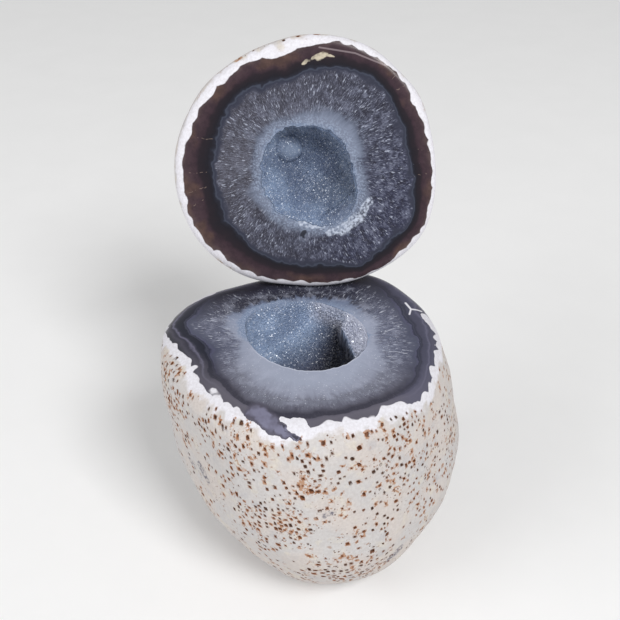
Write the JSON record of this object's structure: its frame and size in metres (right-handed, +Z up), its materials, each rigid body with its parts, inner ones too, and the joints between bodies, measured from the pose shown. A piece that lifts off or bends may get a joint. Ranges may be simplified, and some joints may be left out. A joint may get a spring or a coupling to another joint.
{
  "type": "agate geode",
  "caption": "Sawn agate geode shown open: a pitted, egg-shaped base with a polished banded face and a druzy hollow, and its sawn-off cap leaning on that face.",
  "frame": {"origin": "centre of the ground flat that the base stands on", "axes": "+Z up out of the base's sawn face, -Y towards the viewer that both sawn faces look at, +X to that viewer's right"},
  "size_m": [0.1281, 0.1601, 0.2069],
  "materials": {
    "agate_stone": "pale pitted rind outside, polished grey and violet bands on the sawn face",
    "lid_agate_stone": "pale pitted rind outside, polished brown and near-black bands on the sawn face",
    "quartz_crystals": "small glittering blue-grey quartz points"
  },
  "bodies": {
    "root": {"geode_base": "agate_stone", "geode_lid": "lid_agate_stone", "base_crystal_crust": "quartz_crystals", "lid_crystal_crust": "quartz_crystals"}
  },
  "joints": []
}
